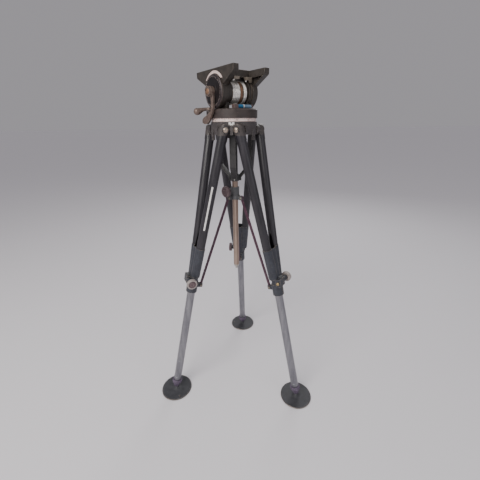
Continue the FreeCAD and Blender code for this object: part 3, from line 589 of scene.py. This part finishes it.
def make_level():
    """Spirit level: a two-tone vial with a white band, between two blocks."""
    rounded_node("level_base", LEVEL_BLOCK, 0.6)
    low, high = span("level_vial", HEAD)
    radius = (high.z - low.z) / 2
    length = high.x - low.x
    place = axis_x(low.x, (low.y + high.y) / 2, (low.z + high.z) / 2)
    vial = Shape(HEAD)
    middle = length * 0.40
    band = 3.2
    vial.lathe([(0, 0.2), (radius - 0.6, 0.2), (radius, 0.8), (radius, middle)], VIAL_BLUE, place, 40)
    vial.lathe([(radius, middle), (radius, middle + band)], WHITE_PAINT, place, 40)
    vial.lathe([(radius, middle + band), (radius, length - 0.8), (radius - 0.6, length - 0.2),
                (0, length - 0.2)], VIAL_PALE, place, 40)
    vial.piece("level_vial_glass", "pan_head", replaces=("level_vial",))
    rings = Shape(HEAD)
    for spot in (middle - 1.0, middle + band + 1.0):
        rings.lathe([(radius - 0.2, spot - 0.3), (radius + 0.12, spot - 0.3),
                     (radius + 0.12, spot + 0.3), (radius - 0.2, spot + 0.3)],
                    DARK_PRINT_AND_SHADE, place, 40, closed=True)
    rings.piece("level_vial_rings", "pan_head")
    screws = Shape(HEAD)
    base_low, base_high = span("level_base", HEAD)
    for x in (base_low.x + 3.6, base_low.x + 10.6):
        slotted_screw(screws, at(x, (base_low.y + base_high.y) / 2, base_high.z - 0.1), 2.2)
    screws.piece("level_screws", "pan_head")


def make_table_screws():
    """Three screws that hold the uprights: one in front of the left, two round the right."""
    top = span("turntable", HEAD)[1].z
    screws = Shape(HEAD)
    for x, y in ((-47.84, -30), (46, -30), (46, 30)):
        slotted_screw(screws, at(x, y, top - 0.1), 3.0, 0.9)
    screws.piece("table_screws", "pan_head")


# ---------------------------------------------------------------- tilt bearing

def make_uprights():
    """Uprights, axle and spring plate, and a bright worn rim on each upright's outer edge."""
    rounded_node("left_upright", CAST, 1.2)
    rounded_node("right_upright", CAST, 1.2)
    rounded_node("tilt_axle", WORN_METAL, 0.8)
    rounded_node("spring_plate", PLATE_BROWN, 0.6)
    height = axle_height()
    rims = Shape(HEAD)
    for node, side in (("left_upright", -1), ("right_upright", 1)):
        low, high = span(node, HEAD)
        radius = high.z - height
        start = low.x if side < 0 else high.x - 1.2
        rims.lathe([(radius - 1.6, -0.5), (radius + 0.1, -0.5), (radius + 0.1, 1.4),
                    (radius - 1.6, 1.4)], DISC_RIM, axis_x(start, 0, height), 96, closed=True)
    rims.piece("upright_rims", "pan_head")


def helix(radius, start, end, turns, height):
    """Points along a coil round the tilt axis."""
    points = []
    count = int(turns * 28)
    for step in range(count + 1):
        angle = 2 * math.pi * turns * step / count
        points.append(Vector((start + (end - start) * step / count,
                              radius * math.cos(angle), height + radius * math.sin(angle))))
    return points


def make_springs():
    """Two close-wound springs on a sleeve round the axle."""
    wire = 2.5
    core = 22
    for node in ("left_spring", "right_spring"):
        low, high = span(node, HEAD)
        height = (low.z + high.z) / 2
        outer = (high.z - low.z) / 2
        coil = Shape(HEAD)
        turns = (high.x - low.x - 2 * wire) / (2.08 * wire)
        coil.rod(helix(outer - wire, low.x + wire, high.x - wire, turns, height), wire, SPRING)
        coil.lathe([(core, low.x), (outer - wire - 0.6, low.x), (outer - wire - 0.6, high.x),
                    (core, high.x)], SPRING_CORE, axis_x(0, 0, height), 64, closed=True)
        coil.piece(node + "_wire", "pan_head", replaces=(node,))


def make_disc():
    """Brake disc with a bevelled, worn rim and a dotted scale."""
    low, high = span("brake_disc", HEAD)
    height = (low.z + high.z) / 2
    radius = (high.z - low.z) / 2
    place = axis_x(0, 0, height)
    disc = Shape(HEAD)
    disc.lathe([(9.0, high.x), (radius - 0.4, high.x), (radius, high.x - 0.4),
                (radius, high.x - 1.1)], DISC_RIM, place, 128)
    disc.lathe([(radius, high.x - 1.1), (radius, low.x + 2.6), (radius - 3.4, low.x + 0.4)],
               DISC_SIDE, place, 128)
    disc.lathe([(radius - 3.4, low.x + 0.4), (radius - 4.4, low.x), (radius - 8.2, low.x),
                (radius - 8.8, low.x + 0.5), (18, low.x + 0.5), (17.4, low.x), (9.0, low.x)],
               DISC_FACE, place, 128)
    disc.piece("brake_disc_finish", "pan_head", replaces=("brake_disc",))
    marks = Shape(HEAD)
    for degree in range(0, 360, 6):
        turn = at(0, 0, height) @ Matrix.Rotation(math.radians(degree), 4, "X")
        reach = 2.6 if degree % 30 == 0 else 1.6
        marks.block((low.x - 0.08, -0.28, radius - 5.0 - reach), (low.x + 0.3, 0.28, radius - 5.0),
                    SCALE_WHITE, turn)
    marks.piece("brake_disc_marks", "pan_head")


# ---------------------------------------------------------------- camera cradle

def make_cradle():
    """Cheeks, platform, tilt arc with its ticks, and the springs' anchors and tangs."""
    rounded_node("left_cheek", CAST, 1.3)
    rounded_node("right_cheek", CAST, 1.3)
    rounded_node("camera_platform", CAST, 0.8)
    rounded_node("tilt_scale_arc", SCALE_WHITE, 0.15)
    rounded_node("spring_anchors", ANCHOR, 0.6)
    height = axle_height()
    low, high = span("tilt_scale_arc", HEAD)
    outer = high.z - height
    ticks = Shape(HEAD)
    for degree in range(45, 141, 5):
        turn = at(0, 0, height) @ Matrix.Rotation(math.radians(degree - 90), 4, "X")
        length = 3.4 if degree % 15 == 0 else 2.0
        ticks.block((low.x - 0.06, -0.2, outer - 0.5 - length), (low.x + 0.2, 0.2, outer - 0.5),
                    DARK_PRINT_AND_SHADE, turn)
    ticks.piece("tilt_arc_ticks", "cradle")
    screws = Shape(HEAD)
    corner = span("right_cheek", HEAD)[1]
    for y in (-15, 15):
        bolt_head(screws, axis_x(corner.x, y, corner.z - 9), 3.4, 2.2)
    screws.piece("cheek_bolts", "cradle")
    tangs = Shape(HEAD)
    anchor_low, anchor_high = span("spring_anchors", HEAD)
    for x in (anchor_low.x + 4.5, anchor_high.x - 14):
        tangs.rod([Vector((x, -28, height + 33)), Vector((x, -24, height + 27.5))], 2.2, SPRING)
    tangs.piece("spring_tangs", "cradle")


def make_camera_screw():
    """Threaded stud with a knurled wheel under the platform."""
    low, high = span("camera_screw", HEAD)
    wheel_top = low.z + 3.8
    root = 4.1
    crest = 4.7
    pitch = 1.6
    thread = []
    turns = int((high.z - wheel_top - 3.0) / pitch)
    for turn in range(turns):
        z = wheel_top + 0.6 + turn * pitch
        thread += [(root, z), (crest, z + pitch * 0.4), (crest, z + pitch * 0.6)]
    screw = Shape(HEAD)
    screw.lathe([(0, low.z + 0.3), (root, low.z + 0.3)] + thread
                + [(root, high.z - 0.9), (3.4, high.z), (0, high.z)], STEEL, Matrix(), 32)
    screw.lathe([(root - 0.1, low.z), (13, low.z), (14, low.z + 0.8), (14, wheel_top - 0.8),
                 (13, wheel_top), (root - 0.1, wheel_top)],
                STEEL, Matrix(), 120, closed=True, ripple=(40, 0.5, 13.5))
    screw.piece("camera_screw_thread", "camera_screw", replaces=("camera_screw",))


# ---------------------------------------------------------------- levers

def make_levers():
    """Tilt lock lever with its nut and cap, and the pan lock lever, which swells to a bulb."""
    rounded_node("tilt_lock_lever", WORN_METAL, 2.2)
    rounded_node("tilt_lock_nut", WORN_METAL, 1.2)
    low = span("tilt_axle", HEAD)[0]
    end = Shape(HEAD)
    rivet(end, at(low.x, 0, axle_height()) @ Matrix.Rotation(math.radians(-90), 4, "Y"),
          7.0, 1.4, PLATE_BROWN)
    end.piece("axle_end_cap", "pan_head")
    root = Vector(JOINTS["pan_lock"]["pos_m"])
    outward = Vector((root.x, root.y, 0))
    place = local_frame((root.x, root.y, 0), outward, UP)
    lever_low, lever_high = span("pan_lock_lever", place)
    top = lever_high.z - 0.5
    lever = Shape(place)
    lever.lathe([(0, lever_low.z), (4, lever_low.z), (4, top - 7), (8, top - 7), (8, top - 1),
                 (7, top), (0, top)], WORN_METAL, Matrix(), 40)
    bulb = 9.6
    bulb_at = lever_high.x - 9.8
    stations = 26
    points = []
    radii = []
    for step in range(stations + 1):
        along = 3 + (bulb_at - 3) * step / stations
        swell = max(0.0, (along - 16) / (bulb_at - 16))
        radii.append(3.8 + 1.2 * min(1.0, along / 20) + (bulb - 5.0) * (3 - 2 * swell) * swell ** 2)
        points.append(Vector((along, 0, top - 1.3 * along / bulb_at - radii[-1])))
    for angle in range(10, 90, 10):
        radii.append(bulb * math.cos(math.radians(angle)))
        points.append(points[stations] + Vector((bulb * math.sin(math.radians(angle)), 0, 0)))
    lever.rod(points, radii, WORN_METAL, 28)
    lever.piece("pan_lever_handle", "pan_lever", replaces=("pan_lock_lever",))


# ---------------------------------------------------------------- spreader

def make_collar():
    """Collar with its pins and knob, and the three arms."""
    rounded_node("spreader_collar", COLLAR, 0.6)
    pins = Shape(ROW)
    to_row = ROW.inverted()
    pin_height = span("spreader_collar")[0].z + 6
    for name in LEGS:
        axis = Vector(JOINTS[name + "_leg_swing"]["axis"])
        place = to_row @ local_frame((0, 0, 0), axis, UP)
        for side in (-1, 1):
            spot = place @ at(side * 6.6, 25, pin_height) @ facing(side) @ ALONG_X
            rivet(pins, spot, 3.6, 1.6, ANCHOR)
    pins.piece("collar_pin_heads", "collar")
    knob_axis = Vector(JOINTS["collar_knob_turn"]["axis"])
    place = local_frame(JOINTS["collar_knob_turn"]["pos_m"], UP.cross(knob_axis), knob_axis)
    knob_low, knob_high = span("collar_knob", place)
    end = knob_high.z
    radius = (knob_high.x - knob_low.x) / 2
    knob = Shape(place)
    knob.lathe([(0, knob_low.z), (2.5, knob_low.z), (2.5, end - 18), (8, end - 18), (8, end - 11)],
               STEEL, Matrix(), 32)
    knob.lathe([(8, end - 11), (radius - 1.2, end - 11), (radius, end - 9.6), (radius, end - 2.2),
                (radius - 1.4, end - 0.8), (radius - 3.2, end - 0.4)], KNOB_FACE, Matrix(), 120,
               ripple=(30, 0.6, radius - 1.3))
    knob.lathe([(radius - 3.2, end - 0.4), (radius - 5, end - 1.2), (9.2, end - 1.2),
                (8.4, end - 0.2), (6.6, end - 0.2), (5.8, end - 1.4), (3.4, end - 1.4),
                (2.6, end), (0, end)], KNOB_FACE, Matrix(), 120)
    knob.piece("collar_knob_grip", "collar_knob", replaces=("collar_knob",))
    for name in LEGS:
        rounded_node(name + "_spreader_arm", MAROON, 0.6)


# ---------------------------------------------------------------- legs

def make_upper_leg(name):
    """Tubes, end fittings that turn black below the pivot, leg casting, pins and clamp ear."""
    rounded_node(name + "_upper_tubes", TUBE_BLACK, 0.3)
    place = LEG[name]
    fittings = rounded_node(name + "_tube_fittings", FITTING, 0.8)
    repaint_below(fittings, place, Vector((0, 0, -15)), Vector((0, 0.25, 1)), TUBE_BLACK)
    rounded_node(name + "_yoke", LEG_PAINT, 0.9)
    lock = place.inverted() @ Vector(JOINTS[name + "_knob_turn"]["pos_m"])
    pivot = place.inverted() @ Vector(JOINTS[name + "_arm_swing"]["pos_m"])
    details = Shape(place)
    for side in (-1, 1):
        rivet(details, at(side * 7.0, pivot.y, pivot.z) @ facing(side) @ ALONG_X, 4.4, 1.8, ANCHOR)
    details.piece(name + "_bracket_pin_heads", name + "_leg")
    ear = Shape(place)
    ear.block((-5.5, 14, lock.z + 9), (5.5, 23.5, lock.z + 22), COLLAR)
    ear.piece(name + "_clamp_ear", name + "_leg", bevel=1.6)


def make_stripe():
    """A plain white stripe down the inner tube of the left leg, on the side towards the front."""
    radius = 14.0
    half_gap = 54.0
    closing = 0.0845
    to_front = math.radians(248)
    tube = at(-half_gap, 0, 0) @ Matrix.Rotation(-math.atan(closing), 4, "Y")
    stripe = Shape(LEG["left"])
    stripe.block((-2.4, -radius - 0.1, -300), (2.4, -radius + 0.7, -160), WHITE_PAINT,
                 tube @ Matrix.Rotation(to_front, 4, "Z"))
    stripe.piece("left_tube_stripe", "left_leg")


def make_lock_knob(name):
    """Fluted knob with a pale rim, all brown on the rear leg, its screw and its brass end."""
    place = LEG[name]
    low, high = span(name + "_lock_knob", place)
    centre_y = (low.y + high.y) / 2
    centre_z = (low.z + high.z) / 2
    radius = (high.z - low.z) / 2
    outward = at(0, centre_y, centre_z) @ Matrix.Rotation(math.radians(-90), 4, "Y")
    rim = KNOB_FACE if name == "rear" else KNOB_RIM
    face = -low.x
    back = face - 12
    knob = Shape(place)
    knob.lathe([(0, back), (radius - 2.0, back), (radius, back + 1.6), (radius, face - 2.2),
                (radius - 1.6, face - 0.7), (12.6, face - 0.7)], rim, outward, 120,
               ripple=(24, 0.7, radius - 0.5))
    knob.lathe([(12.6, face - 0.7), (12.2, face - 1.6), (7.4, face - 1.6), (6.6, face - 0.6),
                (4.8, face - 0.6), (4.2, face - 1.4), (0, face - 1.4)], KNOB_FACE, outward, 120)
    knob.lathe([(0, -24), (3, -24), (3, back + 0.2), (0, back + 0.2)], STEEL, outward, 24)
    knob.lathe([(0, -high.x), (3.6, -high.x), (5, -high.x + 1.2), (5, -high.x + 4.7),
                (0, -high.x + 4.7)], BRASS, outward, 32)
    knob.piece(name + "_knob_grip", name + "_knob", replaces=(name + "_lock_knob",))


def make_lower_leg(name):
    """Lower tube with faint turned rings, and its boot."""
    place = LEG[name]
    low, high = span(name + "_lower_tube", place)
    radius = high.x
    tube = Shape(place)
    bore = radius - 1.6
    outside = [(radius, low.z)]
    ring_gap = 77.0
    lowest_ring = high.z - 524
    for index in range(8):
        z = lowest_ring + ring_gap * index
        if low.z + 20 < z < high.z - 20:
            outside += [(radius, z - 1.1), (radius - 0.35, z - 0.6), (radius - 0.35, z + 0.6),
                        (radius, z + 1.1)]
    outside += [(radius, high.z - 0.4), (radius - 0.4, high.z), (bore, high.z), (bore, low.z)]
    tube.lathe(outside, TUBE_BRIGHT, Matrix(), 64, closed=True)
    tube.piece(name + "_tube_finish", name + "_lower",
               replaces=(name + "_lower_tube",))
    low, high = span(name + "_boot", place)
    boot = Shape(place)
    radius = high.x
    top = high.z
    bore = 13.61
    profile = [(bore, top), (radius - 1.4, top), (radius, top - 1.4), (radius, top - 4.5),
               (radius - 0.7, top - 5.2), (radius - 0.7, top - 6.4), (radius, top - 7.1),
               (radius, top - 12.6), (radius - 1.0, top - 14)]
    steps = 8
    for step in range(1, steps + 1):
        along = step / steps
        profile.append((radius - 1.0 - (radius - 11.4) * along ** 0.9, top - 14 - 18 * along))
    profile += [(9.6, low.z + 0.4), (8.4, low.z), (8.1, low.z + 4.2), (7.2, low.z + 8.4),
                (0.0, low.z + 10.8), (0.0, low.z + 16.0), (bore, low.z + 17.8)]
    boot.lathe(profile, BOOT, Matrix(), 64, closed=True)
    boot.piece(name + "_boot_rubber", name + "_lower", replaces=(name + "_boot",))


def make_foot(name):
    """Round rubber pad with a raised rim and a small slot drawn as a dark patch of painted shade, and the ball it
    turns on.
    """
    foot = JOINTS[name + "_foot_tilt"]
    centre = Vector(foot["pos_m"])
    place = local_frame((centre.x, centre.y, 0), foot["axis"], UP)
    low, high = span(name + "_foot_pad", place)
    radius = high.x
    ball_height = centre.z / MM
    pad = Shape(place)
    pad.lathe([(0, 0), (radius - 1.6, 0), (radius, 0.9), (radius, 3.0)], PAD, Matrix(), 128)
    pad.lathe([(radius, 3.0), (radius - 0.8, 3.9)], DISC_RIM, Matrix(), 128)
    pad.lathe([(radius - 0.8, 3.9), (radius - 3.6, 4.2), (radius - 4.4, 3.5), (18, 3.5), (15, 4.0),
               (6.4, 8.8), (5, 9.8), (5, ball_height - 6.3)], PAD, Matrix(), 128)
    ball = 8
    arc = [(ball * math.cos(angle), ball_height + ball * math.sin(angle))
           for angle in [math.radians(degree) for degree in range(-51, 90, 10)]]
    pad.lathe([(5, ball_height - 6.3)] + arc + [(0, ball_height + ball)], BALL, Matrix(), 40)
    pad.piece(name + "_pad_finish", name + "_foot", replaces=(name + "_foot_pad",))
    marks = Shape(place)
    # Painted shade: the slot is a thin dark patch on the pad, not a cut; the tab beside it is raised.
    marks.block((-48.5, -4.5, 3.3), (-44.5, 4.5, 3.62), DARK_PRINT_AND_SHADE)
    marks.block((-44.3, -3.2, 3.3), (-41.0, 3.2, 4.1), FITTING)
    marks.piece(name + "_pad_slot", name + "_foot", bevel=0.3)


# ---------------------------------------------------------------- stage, light and camera

def make_stage():
    """A plain pale floor that runs out to the horizon under an even pale sky."""
    size = 80.0
    floor = bpy.data.meshes.new("floor")
    corners = [(-size, -size, 0), (size, -size, 0), (size, size, 0), (-size, size, 0)]
    floor.from_pydata(corners, [], [(0, 1, 2, 3)])
    material, _, shader = new_material("pale_floor")
    shader.inputs["Base Color"].default_value = (0.78, 0.76, 0.79, 1)
    shader.inputs["Roughness"].default_value = 0.9
    shader.inputs["Specular IOR Level"].default_value = 0.1
    floor.materials.append(material)
    thing = bpy.data.objects.new("floor", floor)
    bpy.context.scene.collection.objects.link(thing)
    world = bpy.data.worlds.new("studio")
    world.use_nodes = True
    background = world.node_tree.nodes["Background"]
    background.inputs["Color"].default_value = (0.80, 0.77, 0.82, 1)
    background.inputs["Strength"].default_value = 0.42
    bpy.context.scene.world = world


def area_light(name, place, target, size, power, colour=(1, 1, 1)):
    """A round soft light that points at a target."""
    light = bpy.data.lights.new(name, "AREA")
    light.shape = "DISK"
    light.size = size
    light.energy = power
    light.color = colour
    thing = bpy.data.objects.new(name, light)
    thing.location = place
    thing.rotation_euler = (Vector(target) - Vector(place)).to_track_quat("-Z", "Y").to_euler()
    bpy.context.scene.collection.objects.link(thing)


def make_lights():
    """A warm key from the front left, a weak cool fill, a light behind and a broad soft sky."""
    middle = (0, 0, 0.75)
    area_light("key", (-1.1, -2.1, 2.3), middle, 2.2, 80, (1.0, 0.97, 0.93))
    area_light("fill", (2.1, -1.6, 1.3), middle, 1.8, 9, (0.95, 0.97, 1.0))
    area_light("back", (0.6, 2.2, 2.2), middle, 1.4, 22)
    sky = bpy.data.lights.new("sky", "SUN")
    sky.energy = 0.32
    sky.angle = math.radians(120)
    thing = bpy.data.objects.new("sky", sky)
    thing.rotation_euler = (math.radians(20), math.radians(-20), 0)
    bpy.context.scene.collection.objects.link(thing)


def make_camera():
    """A wide lens just above head height, looking down at the tripod."""
    heading = math.radians(4.81)
    pitch = math.radians(22.83)
    roll = math.radians(-0.68)
    forward = Vector((-math.sin(heading) * math.cos(pitch), math.cos(heading) * math.cos(pitch),
                      -math.sin(pitch)))
    level_right = Vector((math.cos(heading), math.sin(heading), 0))
    level_up = level_right.cross(forward)
    right = level_right * math.cos(roll) + level_up * math.sin(roll)
    up = level_up * math.cos(roll) - level_right * math.sin(roll)
    rotation = Matrix((right, up, -forward)).transposed().to_4x4()
    data = bpy.data.cameras.new("camera")
    data.sensor_width = 36.0
    data.lens = 20.52
    data.clip_start = 0.02
    camera = bpy.data.objects.new("camera", data)
    camera.matrix_world = Matrix.Translation((0.0889, -0.8895, 0.9631)) @ rotation
    bpy.context.scene.collection.objects.link(camera)
    bpy.context.scene.camera = camera


make_hub()
make_strap_rivets()
make_pivot_bolts()
make_turntable()
make_level()
make_table_screws()
make_uprights()
make_springs()
make_disc()
make_cradle()
make_camera_screw()
make_levers()
make_collar()
for leg_name in LEGS:
    make_upper_leg(leg_name)
    make_lock_knob(leg_name)
    make_lower_leg(leg_name)
    make_foot(leg_name)
make_stripe()
make_stage()
make_lights()
make_camera()
